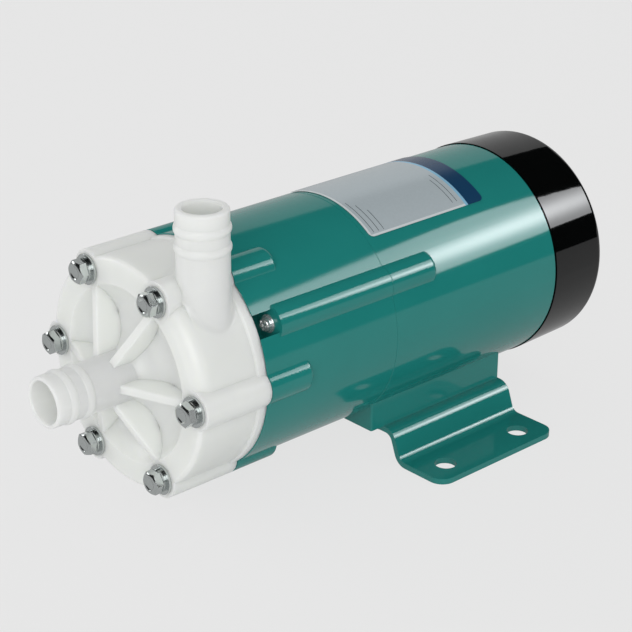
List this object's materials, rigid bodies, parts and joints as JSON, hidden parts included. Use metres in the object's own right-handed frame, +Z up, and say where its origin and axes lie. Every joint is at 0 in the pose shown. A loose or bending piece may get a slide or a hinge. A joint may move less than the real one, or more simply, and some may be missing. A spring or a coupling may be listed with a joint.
{
  "type": "magnetic drive pump",
  "caption": "Magnetic drive centrifugal pump: moulded volute casing with front suction and upright discharge hose tails, sealed can, impeller magnet and a round fan-cooled motor on a pressed steel foot",
  "frame": {"origin": "centre of the four foot holes, on the underside of the foot plate", "axes": "+X along the shaft towards the suction pipe's mouth, +Y to the right of someone facing the suction pipe, +Z up along the discharge pipe"},
  "size_m": [0.2506, 0.1272, 0.1247],
  "materials": {
    "white_plastic": "translucent white moulded polypropylene, satin",
    "grey_plastic": "moulded fluoropolymer, grey",
    "seal_rubber": "black rubber",
    "ceramic": "ground alumina ceramic",
    "stainless_steel": "bright stainless steel fasteners",
    "green_paint": "gloss sea-green enamel on cast aluminium and pressed steel",
    "lamination_steel": "stacked electrical steel",
    "copper_winding": "enamelled copper wire, varnished",
    "bearing_steel": "ground steel",
    "black_plastic": "gloss black moulded plastic",
    "carbon": "moulded carbon bush",
    "magnet_material": "sintered magnet",
    "cast_aluminium": "pressure-cast aluminium"
  },
  "bodies": {
    "housing": {"front_casing": "white_plastic", "mouth_ring": "grey_plastic", "casing_o_ring": "seal_rubber", "rear_casing": "white_plastic", "spindle": "ceramic", "front_thrust_washer": "ceramic", "rear_thrust_washer": "ceramic", "casing_bolts": "stainless_steel", "casing_spring_washers": "stainless_steel", "casing_flat_washers": "stainless_steel", "front_bracket": "green_paint", "bracket_screws": "stainless_steel", "bracket_screw_washers": "stainless_steel", "motor_shell": "green_paint", "cable_bush": "seal_rubber", "base_plate": "green_paint", "base_screws": "stainless_steel", "base_spring_washers": "stainless_steel", "stator_core": "lamination_steel", "stator_windings": "copper_winding", "front_bearing_outer": "bearing_steel", "rear_bearing_outer": "bearing_steel", "bearing_wave_washer": "bearing_steel", "fan_cover": "black_plastic", "fan_cover_screws": "stainless_steel"},
    "motor_rotor": {"motor_shaft": "bearing_steel", "rotor_core": "lamination_steel", "rotor_end_rings": "cast_aluminium", "drive_magnet_yoke": "bearing_steel", "drive_magnets": "magnet_material", "yoke_set_screws": "stainless_steel", "front_bearing_inner": "bearing_steel", "rear_bearing_inner": "bearing_steel", "cooling_fan": "black_plastic", "fan_retaining_ring": "bearing_steel"},
    "impeller_set": {"impeller": "grey_plastic", "impeller_bush": "carbon", "magnet_capsule": "grey_plastic", "capsule_cap": "grey_plastic", "driven_magnet": "magnet_material"}
  },
  "joints": [
    {"name": "rotor_spin", "type": "hinge", "parent": "housing", "child": "motor_rotor", "pos_m": [0, 0, 0.0575], "axis": [1, 0, 0], "continuous": true},
    {"name": "impeller_spin", "type": "hinge", "parent": "housing", "child": "impeller_set", "pos_m": [0.1, 0, 0.0575], "axis": [1, 0, 0], "continuous": true}
  ],
  "couplings": [
    {"joint": "impeller_spin", "follows": "rotor_spin", "ratio": 1}
  ]
}
